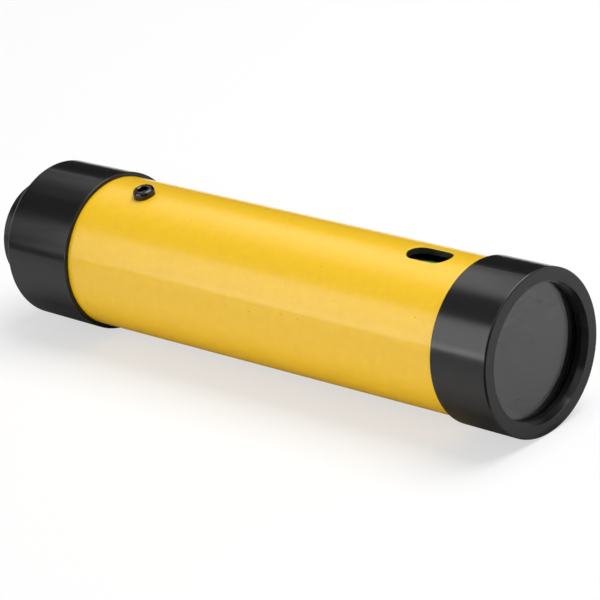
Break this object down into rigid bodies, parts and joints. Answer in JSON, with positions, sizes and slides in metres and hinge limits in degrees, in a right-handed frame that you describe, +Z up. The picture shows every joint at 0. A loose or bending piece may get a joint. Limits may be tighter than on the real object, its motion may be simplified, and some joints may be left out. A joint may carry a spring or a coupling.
{
  "type": "hand level",
  "caption": "Tubular hand level with capped ends, a recessed front window, an obround slot over a spirit vial and a sliding eyepiece.",
  "frame": {"origin": "the point where the sight axis meets the rear cap's closed face, at the foot of the eyepiece", "axes": "+X forward along the sight axis, towards the front window; +Z up through the middle of the slot; +Y to the left of someone looking through the level"},
  "size_m": [0.1666, 0.0404, 0.0412],
  "materials": {
    "tube_paint": "yellow powder coat outside, black inside",
    "cap_black": "satin moulded black",
    "window_glass": "clear, polished",
    "lens_glass": "clear, polished",
    "gasket": "matte",
    "black_metal": "black anodised, satin",
    "inner_black": "matte black",
    "felt": "felt",
    "black_steel": "black oxide, polished",
    "steel": "zinc plated",
    "brass": "satin",
    "vial_glass": "clear, polished",
    "vial_liquid": "clear green liquid",
    "vial_plug": "matte plaster",
    "mirror": "front silvered",
    "bubble": "clear"
  },
  "bodies": {
    "root": {"barrel": "tube_paint", "front_cap": "cap_black", "rear_cap": "cap_black", "front_glass": "window_glass", "front_gasket": "gasket", "guide_bush": "black_metal", "friction_felt": "felt", "guide_screw": "black_steel", "liner_tube": "inner_black", "field_stop": "inner_black", "sight_frame": "black_metal", "frame_screws": "steel", "vial_tray": "inner_black", "tray_screws": "brass", "spring_washer": "steel", "index_frame": "brass", "vial_glass": "vial_glass", "vial_liquid": "vial_liquid", "vial_plugs": "vial_plug", "vial_end_discs": "vial_plug", "mirror_block": "inner_black", "mirror": "mirror", "block_screws": "steel"},
    "eyepiece": {"draw_tube": "black_metal", "eye_head": "cap_black", "eye_glass": "window_glass", "eye_glass_ring": "black_metal", "half_lens_cell": "black_metal", "half_lens": "lens_glass", "half_lens_ring": "black_metal"},
    "bubble": {"vial_bubble": "bubble"}
  },
  "joints": [
    {"name": "eyepiece_slide", "type": "slide", "parent": "root", "child": "eyepiece", "axis": [-1, 0, 0], "range_m": [-0.005, 0.005]},
    {"name": "bubble_slide", "type": "slide", "parent": "root", "child": "bubble", "axis": [1, 0, 0], "range_m": [-0.003, 0.003], "stiffness_N_per_m": 0.15}
  ]
}
